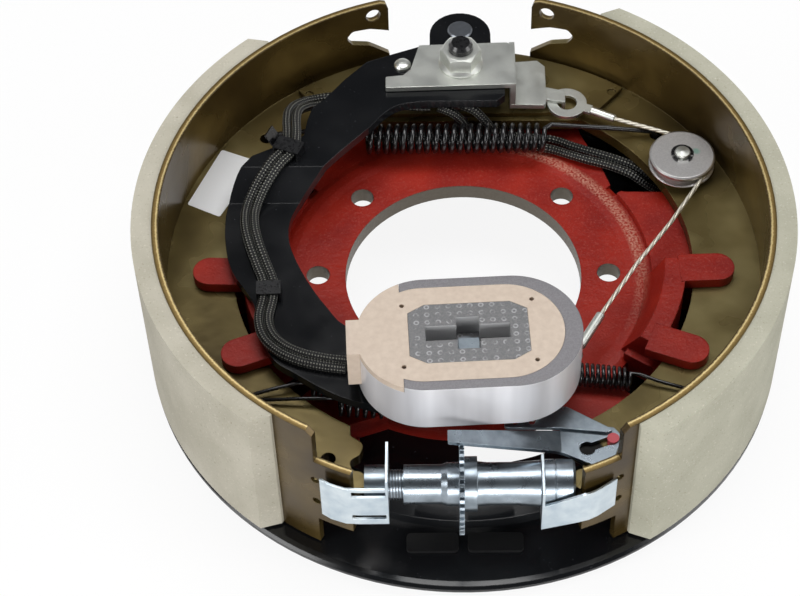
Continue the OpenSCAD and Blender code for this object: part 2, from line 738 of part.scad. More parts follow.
module arm_rivet() {
    color("#c3c5c7") {
        bar(rivet_at, 2.5, arm_high_z - 1.8, arm_high_top + 0.5);
        bar(rivet_at, 4.6, arm_high_z - 2.2, arm_high_z);
        translate([rivet_at[0], rivet_at[1], arm_high_top])
            rotate_extrude()
                polygon([[0, 0], [4.3, 0], [4.2, 1.1], [3.4, 2.1], [2, 2.7], [0, 2.9]]);
    }
}

module magnet_pin() {
    color("#7d8084") {
        bar([0, -magnet_y], magnet_pin_d / 2, arm_low_top, magnet_top - 9.3);
        bar([0, -magnet_y], magnet_pin_d / 2 - 1, arm_low_z - 1.2, arm_low_top + 1);
        bar([0, -magnet_y], magnet_pin_d / 2 + 3, arm_low_top, arm_low_top + 1.2);
    }
}

spring_pocket_r = 16;

module magnet_spring() {
    low = arm_low_top + 0.9;
    high = magnet_z + 6.4;
    turns = 3.5;
    per_turn = 12;
    n = turns * per_turn;
    path = [for (i = [0 : n]) let (a = 360 * i / per_turn, r = 14 - 4 * i / n)
        [r * cos(a), -magnet_y + r * sin(a), low + (high - low) * i / n]];
    color("#3c3e41")
        tube(path, 1.6, 6);
}

// Magnet: steel case, coil set in resin, pole core and retaining clip
module stadium(length, width) {
    half = length / 2 - width / 2;
    translate([-half, 0])
        circle(r = width / 2);
    translate([half, 0])
        circle(r = width / 2);
    square([2 * half, width], center = true);
}

module coil_outline() {
    translate([magnet_shift - 2, 0])
        stadium(magnet_l - 12, magnet_w - 9.5);
}

module core_outline(grow = 0) {
    w = 26.7 + grow;
    h = 16.3 + grow;
    translate([1.3, 0])
        polygon([[-w, -h + 4.4], [-w + 7.6, -h], [w - 7.6, -h], [w, -h + 4.4], [w, h - 4.4], [w - 7.6, h], [-w + 7.6, h],
            [-w, h - 4.4]]);
}

face_t = 3.4;
wire_lug = [19.4, 9.6];
case_face_x = -28.6;
lug_rise = 5.4;

module at_magnet() {
    translate([0, -magnet_y, 0])
        rotate([0, 0, magnet_turn])
            children();
}

module magnet_case() {
    color("#8b8b90")
        at_magnet()
            difference() {
                translate([magnet_shift, 0, magnet_z])
                    linear_extrude(magnet_h)
                        stadium(magnet_l, magnet_w);
                translate([0, 0, coil_floor])
                    linear_extrude(magnet_h)
                        coil_outline();
                translate([-magnet_l / 2 - 1, -magnet_w / 2 - 1, magnet_top - face_t])
                    cube([magnet_l / 2 + 1 + case_face_x, magnet_w + 2, face_t + 1]);
                translate([-magnet_l / 2 - 1, -wire_lug[1], magnet_z + lug_rise])
                    cube([10, wire_lug[0], magnet_h]);
                bar([0, 0], magnet_pin_d / 2 + run_gap, magnet_z - 1, coil_floor + 1);
                bar([0, 0], spring_pocket_r, magnet_z - 1, magnet_z + 7.4);
            }
}

module magnet_coil() {
    gap = 0.1;
    color("#d8bfa6")
        at_magnet()
            difference() {
                union() {
                    translate([magnet_shift - 2, 0, coil_floor])
                        linear_extrude(magnet_top - coil_floor)
                            stadium(magnet_l - 12 - 2 * gap, magnet_w - 9.5 - 2 * gap);
                    intersection() {
                        translate([magnet_shift, 0, magnet_top - face_t])
                            linear_extrude(face_t)
                                stadium(magnet_l, magnet_w);
                        translate([-magnet_l / 2, -magnet_w, 0])
                            cube([magnet_l / 2 + case_face_x - gap, 2 * magnet_w, magnet_top]);
                    }
                    translate([-magnet_l / 2 - 2.7, -wire_lug[1] + gap, magnet_z + lug_rise + gap])
                        cube([11.6, wire_lug[0] - 2 * gap, magnet_h - lug_rise - gap]);
                }
                translate([0, 0, coil_floor - 1])
                    linear_extrude(magnet_h)
                        core_outline(gap);
                for (p = [[-27.8, 16.4], [30.5, 17], [30.3, -17.1], [-28.2, -17.7]])
                    bar(p, 1.1, magnet_top - 6, magnet_top + 1);
            }
}

module magnet_core() {
    color("#9a9a9c")
        at_magnet()
            difference() {
                translate([0, 0, coil_floor])
                    linear_extrude(magnet_top - coil_floor)
                        core_outline();
                translate([-18, -4, magnet_top - 11])
                    cube([37.9, 8, 12]);
                translate([-4.1, -9.2, magnet_top - 11])
                    cube([10.4, 17.6, 12]);
                bar([0, 0], magnet_pin_d / 2 + run_gap, coil_floor - 1, magnet_top);
            }
}

module magnet_clip() {
    color("#6f8196")
        at_magnet() {
            for (z = [-9, -5])
                translate([-3.5, -8.9, magnet_top + z])
                    cube([9.3, 8.3, 1.4]);
            translate([-3.5, -8.9, magnet_top - 9])
                cube([9.3, 1.4, 5.2]);
        }
}

// Adjuster, all turned about the X axis at adjuster_y
fork_from = -45.6;
fork_to = -36.2;
sleeve_from = -28.3;
star_from = -3.6;
star_to = -1.4;
barrel_to = 32.6;
socket_to = 47.7;

module across(from, to, r, r_end = 0) {
    translate([from, -adjuster_y, shoe_mid_z])
        rotate([0, 90, 0])
            cylinder(h = to - from, r1 = r, r2 = r_end > 0 ? r_end : r);
}

module web_slot(from, to) {
    translate([from, -adjuster_y - 20, shoe_mid_z - web_t / 2 - web_gap])
        cube([to - from, 40, web_t + 2 * web_gap]);
}

module adjuster_screw() {
    color("#9fa2a5")
        difference() {
            union() {
                across(fork_from, fork_to, 8.9);
                across(fork_to, -8, screw_d / 2);
            }
            web_slot(fork_from - 1, -44.6 + fork_gap + 0.6);
        }
}

module star_wheel_sleeve() {
    tooth = 360 / star_teeth;
    root = star_d / 2 - 2.1;
    teeth = [for (i = [0 : star_teeth - 1]) each [
        for (p = [[-0.5, root], [-0.22, star_d / 2], [0.22, star_d / 2], [0.5, root]])
            let (a = (i + p[0] * 0.86) * tooth) [p[1] * cos(a), p[1] * sin(a)]]];
    color("#a9acae")
        difference() {
            union() {
                across(sleeve_from, star_from - 5.4, sleeve_d / 2);
                across(star_from - 8, star_from - 5.2, sleeve_d / 2, sleeve_d / 2 + 0.9);
                across(star_from - 5.2, star_from + 0.4, sleeve_d / 2 + 0.9);
                translate([star_from, -adjuster_y, shoe_mid_z])
                    rotate([90, 0, 90])
                        linear_extrude(star_to - star_from)
                            polygon(teeth);
                across(star_to - 0.4, 4.4, 12.3);
                across(4, 9, 10.1, 9.6);
                across(8.8, 22, 9.6);
                across(22, barrel_to, 9.6, 10.3);
                across(barrel_to - 1, 42.5, 6);
            }
            across(sleeve_from - 1, -4.5, screw_d / 2 + screw_gap);
            across(sleeve_from - 1, sleeve_from + 0.8, screw_d / 2 + 1, screw_d / 2);
        }
}

module adjuster_socket() {
    groove_at = 39;
    color("#7d8083")
        difference() {
            union() {
                across(barrel_to + 1.6, groove_at - 0.3, 10.7);
                across(groove_at - 0.6, groove_at + 0.6, 10.2);
                across(groove_at + 0.3, socket_to - 1, 10.7);
                across(socket_to - 1.2, socket_to, 10.4, 9.8);
            }
            across(barrel_to, 43.2, 6 + screw_gap);
            web_slot(45.4, socket_to + 1);
        }
}

// Sheet metal clips between the adjuster and each shoe
module bent_strip(path, t, z_low, z_high) {
    dirs = directions(path);
    n = len(path);
    left = [for (i = [0 : n - 1]) path[i] + t / 2 * [-dirs[i][1], dirs[i][0]]];
    right = [for (i = [n - 1 : -1 : 0]) path[i] - t / 2 * [-dirs[i][1], dirs[i][0]]];
    plate(concat(left, right), z_low, z_high);
}

module primary_clip() {
    x = fork_to + 0.2;
    front = -adjuster_y - 11.8;
    low = shoe_mid_z - 12.9;
    high = shoe_mid_z + 14.2;
    color("#d9dde2")
        difference() {
            union() {
                bent_strip([[-64.6, -133.4], [-60.5, -136.2], [-54, front + 0.4], [-48, front], [x + clip_t / 2, front]],
                    clip_t, low, high);
                translate([x, front - 0.6, low])
                    cube([clip_t, 21.5, high - low + 6]);
            }
            across(x - 2, x + 3, 8);
            for (slot = [[high - 6.1, 4], [low + 4, 3.1]])
                translate([-51, front - 2, slot[0]])
                    cube([x + 51, 4, slot[1]]);
        }
}

module secondary_clip() {
    x = barrel_to + 0.3;
    front = -adjuster_y - 12;
    rise = [[x - 1, -2.8], [50.4, 3.6], [70, 5.9], [70, 26.4], [50.6, 24.4], [x + clip_t, 16], [x + clip_t, 26],
        [x - 1, 26]];
    color("#d9dde2")
        difference() {
            intersection() {
                union() {
                    bent_strip([[x, front], [50, front], [54, front + 0.8], [58, front + 2.6], [65.6, front + 7.6]],
                        clip_t, -5, 30);
                    translate([x, front - 0.6, -5])
                        cube([clip_t, 21.5, 40]);
                }
                translate([0, -90, 0])
                    rotate([90, 0, 0])
                        linear_extrude(70)
                            polygon(rise);
            }
            across(x - 2, x + 3, 8.4);
        }
}

// Adjusting lever with its pin
lever_low = web_top + web_gap;
lever_top = lever_low + lever_t;
key_at = [53.9, -112.5];
ramp_x = 41.7;
ramp_rise = (shoe_mid_z + star_d / 2 + 0.5 - lever_low) / (ramp_x - star_to);

module adjusting_lever() {
    tip_x = -8.6;
    tip = lever_low + ramp_rise * (ramp_x - tip_x);
    outline = rounded([[tip_x, -124.2], [ramp_x, -114.2], [56.6, -121.6], [66.2, -116.6], [69.7, -106.1],
        [66.5, -101.2], [ramp_x + 0.6, -98], [ramp_x + 0.2, -102.8], [tip_x, -118]], [0.8, 6, 2, 3, 3, 2, 0, 0, 0.8]);
    side = [[tip_x - 1, tip + ramp_rise], [ramp_x, lever_low], [90, lever_low], [90, lever_top],
        [ramp_x + 0.5, lever_top], [tip_x - 1, tip + ramp_rise + lever_t * 1.1]];
    slot = lever_pin_at - key_at;
    color("#aab4bf")
        difference() {
            intersection() {
                plate(outline, lever_low - 1, 60);
                translate([0, -80, 0])
                    rotate([90, 0, 0])
                        linear_extrude(60)
                            polygon(side);
            }
            bar(key_at, 3.6, lever_low - 1, lever_top + 1);
            bar(lever_pin_at, 2.2 + run_gap, lever_low - 1, lever_top + 1);
            translate([key_at[0], key_at[1], lever_low - 1])
                rotate([0, 0, atan2(slot[1], slot[0])])
                    translate([0, -2.1, 0])
                        cube([norm(slot) - 2, 4.2, lever_t + 2]);
        }
}

// The plate on top of the lever that takes the cable hook and the lever spring.
module lever_hook_plate() {
    color("#b6c0cc")
        difference() {
            plate(rounded([[62.8, -105], [66.4, -103.9], [45.2, -90.6], [30, -93.6], [17, -94.4], [17, -102], [ramp_x, -102.4]],
                [1, 1, 3, 4, 2, 2, 0]), lever_top, lever_top + 1.8);
            for (slot = [[hook_at, 1.5], [spring_end_at, 1.4]])
                for (k = [0 : 4])
                    bar(slot[0] - k / 4 * [0.5, 2], slot[1], lever_top - 1, lever_top + 3);
        }
}

module lever_pin() {
    top = lever_top;
    color("#b0454f") {
        bar(lever_pin_at, 2.5, web_low - 0.8, web_top);
        bar(lever_pin_at, 2.2, web_top - 1, top + 0.4);
        bar(lever_pin_at, 2.7, top + 0.3, top + 1.2);
        bar(lever_pin_at, 3.6, web_low - 1.4, web_low);
    }
}

// Cable guide wheel on its pin
module cable_guide_wheel() {
    r = guide_wheel_d / 2;
    color("#a7a5a4")
        translate([wheel_at[0], wheel_at[1], 0])
            rotate_extrude()
                polygon([[4 + run_gap, wheel_low], [r - 1, wheel_low], [r, wheel_low + 0.6], [r, wheel_low + 1.2],
                    [wheel_groove_r, wheel_groove_z - 1.1], [wheel_groove_r, wheel_groove_z + 1.1],
                    [r, wheel_top - 2], [r, wheel_top - 0.6], [r - 0.8, wheel_top], [4 + run_gap, wheel_top]]);
}

module guide_wheel_pin() {
    groove = wheel_top + 0.9;
    color("#b9bbbd")
        translate([wheel_at[0], wheel_at[1], 0])
            rotate_extrude()
                polygon([[0, web_low - 1.4], [5.4, web_low - 1.4], [5.4, web_low], [3.5, web_low], [3.5, web_top],
                    [6, web_top], [6, wheel_low - 0.2], [4, wheel_low - 0.2], [4, wheel_top + 0.3], [3, wheel_top + 0.3],
                    [3, groove + 0.4], [4, groove + 0.4], [3.6, groove + 1.4], [0, groove + 1.9]]);
}

module guide_wheel_clip() {
    color("#2a2a2c")
        difference() {
            bar(wheel_at, 5.6, wheel_top + 0.4, wheel_top + 1.2);
            bar(wheel_at, 3.05, wheel_top - 1, wheel_top + 3);
            translate([wheel_at[0], wheel_at[1] - 4.6, wheel_top])
                cube([5.2, 9, 4], center = true);
            for (s = [-1, 1])
                bar([wheel_at[0] + s * 4.6, wheel_at[1] - 1.4], 1, wheel_top - 1, wheel_top + 3);
        }
}

// Adjusting cable, round the guide wheel from the bracket to the lever
eyelet_at = [53.9, 97.2];
cable_z = wheel_groove_z;
cable_wrap = wheel_groove_r + cable_d / 2 + 0.15;
wrap_from = 67.5;
wrap_to = -31;
cable_top = [[77.5, 86.3, cable_z - 0.4], [96, 78.6, cable_z]];
cable_low = [[100.4, 16.3, cable_z], [82, -9.8, cable_z - 0.4], [63.6, -39.6, cable_z - 0.8]];

module adjusting_cable() {
    wrap = [for (i = [0 : 7]) let (a = wrap_from + (wrap_to - wrap_from) * i / 7)
        [wheel_at[0] + cable_wrap * cos(a), wheel_at[1] + cable_wrap * sin(a), cable_z]];
    color("#d3d1c8")
        tube(concat(cable_top, wrap, cable_low), cable_d, 8);
}

module cable_eyelet() {
    t = 1.8;
    low = cable_z - 1.4;
    heading = -21.5;
    color("#c3c8cf")
        translate([eyelet_at[0], eyelet_at[1], low])
            difference() {
                union() {
                    cylinder(h = t, r = 10);
                    rotate([0, 0, heading])
                        translate([6, -2.6, 0])
                            cube([7, 5.2, t]);
                }
                translate([0, 0, -1])
                    cylinder(h = t + 2, r = 5);
            }
}

module ferrule(from, to, r) {
    run = to - from;
    translate(from)
        rotate([0, acos(run[2] / norm(run)), atan2(run[1], run[0])])
            cylinder(h = norm(run), r = r);
}

module upper_ferrule() {
    color("#c3c8cf")
        ferrule([66.2, 92.2, cable_z - 0.45], [77.5, 86.3, cable_z - 0.4] + [-0.05, 0, 0], 2.1);
}

module lower_ferrule() {
    start = cable_low[2];
    end = [53.4, -57.5, 25.2];
    hook = smooth([end, [45.4, -74, 25.6], [38, -88.4, 26.4], [31.8, -95.4, 26.8], [hook_at[0], hook_at[1], 25],
        [hook_at[0], hook_at[1], 22]], 2);
    color("#c9ccd0") {
        ferrule(start + [-0.1, -0.2, 0], end, 2.2);
        tube(hook, 1.9, 8);
    }
}

// Magnet leads, in braided sleeves: two along the arm and two along the spider
lead_z = arm_low_top + lead_d / 2 + 0.05;
arm_lead_route = [[-54, -73.6], [-64, -72], [-75, -69], [-84, -64], [-90.4, -56.8], [-93, -47], [-91.6, -36],
    [-91.4, -26], [-95.4, -14], [-100, 0], [-102.4, 12]];

function shifted(route, by) = let (dirs = directions(route)) [
    for (i = [0 : len(route) - 1]) route[i] + by * [-dirs[i][1], dirs[i][0]]
];

arm_lead_rise = [[-101.8, 22, 33.9], [-97.6, 32, 38], [-91, 42.4, 42.3], [-84.4, 52, 42.4], [-83.4, 61, 42.4],
    [-84, 71, 41.8], [-83.6, 80, 39.4], [-80.4, 88.6, 34.6], [-72.5, 94.6, 31.2], [-57, 96.6, 31.4], [-38, 94.5, 31.8],
    [-22, 92.5, 31.8], [-15.5, 92.4, 31.8]];

function arm_lead(by) = let (
    flat = [for (p = arm_lead_route) [p[0], p[1], lead_z]],
    whole = concat(flat, arm_lead_rise),
    moved = shifted([for (p = whole) [p[0], p[1]]], by))
    smooth([for (i = [0 : len(whole) - 1]) [moved[i][0], moved[i][1], whole[i][2]]], 2);

module arm_lead_inner() {
    color("#26262a")
        tube(arm_lead(-lead_d / 2 - 0.05), lead_d, 8);
}

module arm_lead_outer() {
    color("#26262a")
        tube(arm_lead(lead_d / 2 + 0.05), lead_d, 8);
}

plate_lead_end = [[75.4, 70, 11.2], [86, 66, 9.4], [95, 63.6, 3.6], [102.5, 64.4, -3], [108, 67.6, -11],
    [110.3, 70.7, -19.5], [110.6, 71, -24.5], [110.6, 71, -30], [110.6, 71, -36]];
plate_lead_a = [[-11.5, 89.8, 31.6], [-4, 88.4, 28.6], [1, 88.2, 22], [5, 87, 15.6], [13, 84.8, 11.8], [27, 82.8, 11.7],
    [44, 79.4, 11.6], [54, 75.4, 11.6], [63.6, 71, 12]];
plate_lead_b = [[-11.5, 95.1, 31.6], [-4, 93.6, 31.4], [6.5, 90.6, 28.4], [12.6, 88.6, 22], [17, 88.2, 16], [25.6, 88.2, 11.8],
    [45.4, 86, 11.4], [56, 81, 11.6], [66, 76.4, 12]];

module plate_lead_inner() {
    color("#26262a")
        tube(smooth(concat(plate_lead_a, [for (p = plate_lead_end) p + [-1.4, -2, 0]]), 2), lead_d, 8);
}

module plate_lead_outer() {
    color("#26262a")
        tube(smooth(concat(plate_lead_b, [for (p = plate_lead_end) p + [1.6, 2.6, 0]]), 2), lead_d, 8);
}

// A strap bent over both leads
upper_clip_at = [-84.6, 52];

module lead_clip(at, heading, base, w, inside) {
    t = 0.9;
    h = lead_d + 0.3;
    translate([at[0], at[1], base])
        rotate([0, 0, heading])
            difference() {
                translate([-w / 2, -inside / 2 - t, 0])
                    cube([w, inside + 2 * t, h + t]);
                translate([-w, -inside / 2, -1])
                    cube([2 * w, inside, h + 1]);
            }
}

module upper_lead_clip() {
    color("#2f3136") {
        lead_clip(upper_clip_at, 67, arm_high_top, 8.4, 2 * lead_d + 2.6);
        translate([upper_clip_at[0], upper_clip_at[1], arm_high_top + 0.6])
            rotate([0, 0, 67])
                translate([-1, lead_d + 2, 0])
                    rotate([-35, 0, 0])
                        cube([7.5, 1, 9]);
    }
}

module lower_lead_clip() {
    color("#2f3136")
        lead_clip([-91.3, -30.4], 92, arm_low_top, 8, 2 * lead_d + 0.6);
}

module lead_grommet() {
    color("#1d1d1f")
        translate([grommet_at[0], grommet_at[1], -shield_flat_z])
            difference() {
                rotate_extrude()
                    polygon([[0, -shield_t - 2], [grommet_r + 1.6, -shield_t - 2], [grommet_r + 1.6, -shield_t],
                        [grommet_r - 0.1, -shield_t], [grommet_r - 0.1, 0], [grommet_r + 1.6, 0], [grommet_r + 1, 2.4],
                        [0, 2.4]]);
                for (p = [[-1.4, -2], [1.6, 2.6]])
                    translate([p[0], p[1], -8])
                        cylinder(h = 14, r = lead_d / 2 + 0.2);
            }
}

module blank_label() {
    color("#e9ecec")
        plate(rounded([[-120.6, 73.4], [-101.4, 65], [-119, 28.6], [-135.4, 37]], 1.2), web_top, web_top + 0.25);
}

spider();
dust_shield();
shield_screws();
adjusting_slot_plugs();
anchor_post();
anchor_stud();
shoe_guide_plate();
arm_spacer();
arm_bushing();
cable_bracket();
pivot_nut();
primary_shoe();
primary_lining();
secondary_shoe();
secondary_lining();
retractor_spring();
shoe_spring();
lever_spring();
actuating_arm();
spreading_pin();
arm_rivet();
magnet_pin();
magnet_spring();
magnet_case();
magnet_coil();
magnet_core();
magnet_clip();
adjuster_screw();
star_wheel_sleeve();
adjuster_socket();
primary_clip();
secondary_clip();
adjusting_lever();
lever_hook_plate();
lever_pin();
cable_guide_wheel();
guide_wheel_pin();
guide_wheel_clip();
adjusting_cable();
cable_eyelet();
upper_ferrule();
lower_ferrule();
arm_lead_inner();
arm_lead_outer();
plate_lead_inner();
plate_lead_outer();
upper_lead_clip();
lower_lead_clip();
lead_grommet();
blank_label();
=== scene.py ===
# Electric trailer brake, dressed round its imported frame.
# Routes, and the sizes and places in a finish, are in millimetres. Bevels, reliefs and all else are in metres.
import json
import math

import bmesh
import bpy
from mathutils import Matrix, Vector


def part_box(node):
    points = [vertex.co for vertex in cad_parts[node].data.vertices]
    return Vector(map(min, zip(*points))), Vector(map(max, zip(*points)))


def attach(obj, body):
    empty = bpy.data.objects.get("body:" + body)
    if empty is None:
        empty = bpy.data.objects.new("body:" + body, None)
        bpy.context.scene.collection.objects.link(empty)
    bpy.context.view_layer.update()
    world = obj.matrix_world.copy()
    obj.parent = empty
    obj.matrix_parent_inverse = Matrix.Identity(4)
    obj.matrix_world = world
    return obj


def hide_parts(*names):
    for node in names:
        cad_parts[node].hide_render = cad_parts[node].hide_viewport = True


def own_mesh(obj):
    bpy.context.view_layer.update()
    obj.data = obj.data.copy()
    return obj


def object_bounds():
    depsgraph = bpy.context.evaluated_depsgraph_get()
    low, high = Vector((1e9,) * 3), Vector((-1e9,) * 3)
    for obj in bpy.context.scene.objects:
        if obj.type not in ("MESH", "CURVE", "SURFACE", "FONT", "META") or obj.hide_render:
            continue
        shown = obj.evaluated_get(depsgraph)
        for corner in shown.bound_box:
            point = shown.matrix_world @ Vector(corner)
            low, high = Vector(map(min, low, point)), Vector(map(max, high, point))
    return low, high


MM_PER_METRE = 1000.0

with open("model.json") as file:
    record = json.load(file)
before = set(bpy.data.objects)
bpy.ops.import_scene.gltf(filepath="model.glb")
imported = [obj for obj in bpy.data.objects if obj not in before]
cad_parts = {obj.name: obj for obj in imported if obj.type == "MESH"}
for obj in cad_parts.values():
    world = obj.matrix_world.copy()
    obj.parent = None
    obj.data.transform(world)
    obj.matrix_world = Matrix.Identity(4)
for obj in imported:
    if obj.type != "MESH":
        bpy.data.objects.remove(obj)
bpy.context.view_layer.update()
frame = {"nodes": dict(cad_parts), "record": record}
cad = frame["nodes"]

# Camera: the photograph's own view, found from the CAD's edges. Focal length and centres are in pixels.
CAMERA_AT = (-0.010785, -0.645989, 0.791087)
CAMERA_RIGHT = (0.99995952, -0.00678912, -0.00590405)
CAMERA_UP = (0.00899115, 0.77814068, 0.62802567)
CAMERA_BACK = (0.00033044, -0.62805333, 0.77817023)
IMAGE_WIDTH = 800
SENSOR_WIDTH = 36.0
FOCAL_LENGTH = 2090.93
IMAGE_CENTRE = (399.5, 297.5)
OPTICAL_CENTRE = (440.14, 296.47)

scene = bpy.context.scene
lens_data = bpy.data.cameras.new("camera")
lens_data.sensor_width = SENSOR_WIDTH
lens_data.lens = FOCAL_LENGTH / IMAGE_WIDTH * SENSOR_WIDTH
lens_data.shift_x = (IMAGE_CENTRE[0] - OPTICAL_CENTRE[0]) / IMAGE_WIDTH
lens_data.shift_y = (OPTICAL_CENTRE[1] - IMAGE_CENTRE[1]) / IMAGE_WIDTH
camera = bpy.data.objects.new("camera", lens_data)
turn = Matrix((CAMERA_RIGHT, CAMERA_UP, CAMERA_BACK)).transposed().to_4x4()
camera.matrix_world = Matrix.Translation(CAMERA_AT) @ turn
scene.collection.objects.link(camera)
scene.camera = camera
scene.view_settings.view_transform = "Standard"


# Node helpers
def linear(hex_code):
    """An sRGB hex colour as the linear RGBA that a shader takes."""
    parts = [int(hex_code[i : i + 2], 16) / 255 for i in (1, 3, 5)]
    return (*[c / 12.92 if c <= 0.04045 else ((c + 0.055) / 1.055) ** 2.4 for c in parts], 1.0)


def add(tree, kind, inputs=None, stops=(), **settings):
    """Adds a node with its settings and links.

    An input is a value, a hex colour, a socket, or a node, which stands for its first output.
    """
    made = tree.nodes.new("ShaderNode" + kind)
    for name, value in settings.items():
        setattr(made, name, value)
    for i, (place, colour) in enumerate(stops):
        element = made.color_ramp.elements[i] if i < 2 else made.color_ramp.elements.new(place)
        element.position, element.color = place, linear(colour)
    for key, value in (inputs or {}).items():
        if isinstance(key, int):
            socket = made.inputs[key]
        else:
            socket = next(s for s in made.inputs if s.enabled and s.name == key)
        if isinstance(value, bpy.types.Node):
            value = next(s for s in value.outputs if s.enabled)
        if isinstance(value, bpy.types.NodeSocket):
            tree.links.new(value, socket)
        else:
            socket.default_value = linear(value) if isinstance(value, str) else value
    return made


def noise(tree, place, grain, detail=2.0):
    """Noise with a grain of so many millimetres."""
    return add(tree, "TexNoise", {"Vector": place, "Scale": 1 / grain, "Detail": detail})


def across(tree, value, start, end, low=0.0, high=1.0):
    """The run of a value from start to end as a run from low to high, held beyond its ends."""
    return add(tree, "MapRange", {"Value": value, "From Min": start, "From Max": end, "To Min": low, "To Max": high})


def tones(tree, value, *stops):
    """A colour for each value, from stops of a place and a colour."""
    return add(tree, "ValToRGB", {"Fac": value}, stops=stops)


def blend(tree, share, first, second, kind="RGBA"):
    """The first where the share is 0, and the second where it is 1."""
    return add(tree, "Mix", {"Factor": share, "A": first, "B": second}, data_type=kind)


def product(tree, first, *others):
    """All the values multiplied."""
    for other in others:
        first = add(tree, "Math", {0: first, 1: other}, operation="MULTIPLY")
    return first


def scaled_sum(tree, value, scale, other):
    """The value times the scale, plus the other value."""
    return add(tree, "Math", {0: value, 1: scale, 2: other}, operation="MULTIPLY_ADD")


def from_axle(tree, place):
    """The distance from the axle."""
    flat = add(tree, "VectorMath", {0: place, 1: (1, 1, 0)}, operation="MULTIPLY")
    return add(tree, "VectorMath", {0: flat}, operation="LENGTH").outputs["Value"]


def from_point(tree, place, point):
    """The distance from a point."""
    return add(tree, "VectorMath", {0: place, 1: point}, operation="DISTANCE").outputs["Value"]


def upward(tree):
    """How far a face looks up: 1 for a level face, 0 for an upright one, and less for one that looks down."""
    return add(tree, "SeparateXYZ", {0: add(tree, "NewGeometry").outputs["Normal"]}).outputs["Z"]


def edge(tree, radius=0.0004, samples=4):
    """Sharp edges rounded to catch the light."""
    return add(tree, "Bevel", {"Radius": radius}, samples=samples)


def relief(tree, height, depth, under):
    """A height as relief on top of the surface under it."""
    return add(tree, "Bump", {"Height": height, "Distance": depth, "Normal": under})


def strands(tree, pitch, count):
    """Strands laid round a wire, as a wave: one each pitch in mm along it, and so many round it."""
    at = add(tree, "SeparateXYZ", {0: add(tree, "UVMap", uv_map="UVMap")})
    turns = scaled_sum(tree, at.outputs["X"], 1 / pitch, product(tree, at.outputs["Y"], count))
    return add(tree, "Math", {0: product(tree, turns, 2 * math.pi)}, operation="SINE")


def empty_material(name):
    """A material with no surface yet, its tree, and its surface point in millimetres."""
    material = bpy.data.materials.new(name)
    material.use_nodes = True
    tree = material.node_tree
    tree.nodes.clear()
    place = add(tree, "TexCoord").outputs["Object"]
    return material, tree, add(tree, "VectorMath", {0: place, "Scale": MM_PER_METRE}, operation="SCALE")


def finished(material, tree, surface):
    """The material with its surface, from the inputs of one shader."""
    add(tree, "OutputMaterial", {"Surface": add(tree, "BsdfPrincipled", surface)})
    return material


# Sand-cast iron under dark red primer: a grainy satin coat with painted glints on its sand grains and a painted
# highlight along the ridge on the right, with bare metal in the bore
def cast_iron_in_red_primer():
    material, t, place = empty_material("cast_iron_in_red_primer")
    at = add(t, "SeparateXYZ", {0: place})
    radius = from_axle(t, place)
    sand = noise(t, place, 1.1, 3.0)
    red = tones(t, noise(t, place, 24, 3.0), (0.3, "#82170f"), (0.7, "#a02414"))
    # Paler specks on the sand grains: painted glints.
    red = blend(t, across(t, sand, 0.56, 0.78, 0, 0.7), red, "#a8463a")
    # A pale pink band along the ridge on the right, mottled by the sand: a painted highlight.
    inner, outer = across(t, radius, 82.5, 84.5), across(t, radius, 90.5, 88.0)
    high, right = across(t, at.outputs["Y"], -40, 20), across(t, at.outputs["X"], 5, 40)
    ridge_highlight = product(t, across(t, sand, 0.38, 0.6, 0, 0.75), inner, outer, high, right)
    red = blend(t, ridge_highlight, red, "#c8907c")
    upright = across(t, add(t, "Math", {0: upward(t)}, operation="ABSOLUTE"), 0.5, 0.3)
    bare = product(t, upright, across(t, radius, 79, 78.5))
    lumps = scaled_sum(t, sand, 0.6, noise(t, place, 3.5))
    return finished(material, t, {
        "Base Color": blend(t, bare, red, "#6d665c"),
        "Roughness": across(t, sand, 0.3, 0.8, 0.34, 0.55),
        "Normal": relief(t, lumps, 0.0002, edge(t, 0.001, 3)),
        "Specular IOR Level": 0.25,
        "Metallic": product(t, bare, 0.7),
    })


# Pressed steel under gloss black enamel: deep black, with specks of dust and slow waves in its shine
def black_enamel():
    material, t, place = empty_material("gloss_black_enamel")
    return finished(material, t, {
        "Base Color": tones(t, noise(t, place, 1.3, 1.0), (0.74, "#121315"), (0.8, "#3a3a3e")),
        "Roughness": across(t, noise(t, place, 30, 3.0), 0.3, 0.7, 0.12, 0.26),
        "Normal": relief(t, noise(t, place, 16, 1.0), 0.00012, edge(t, 0.0005, 3)),
    })


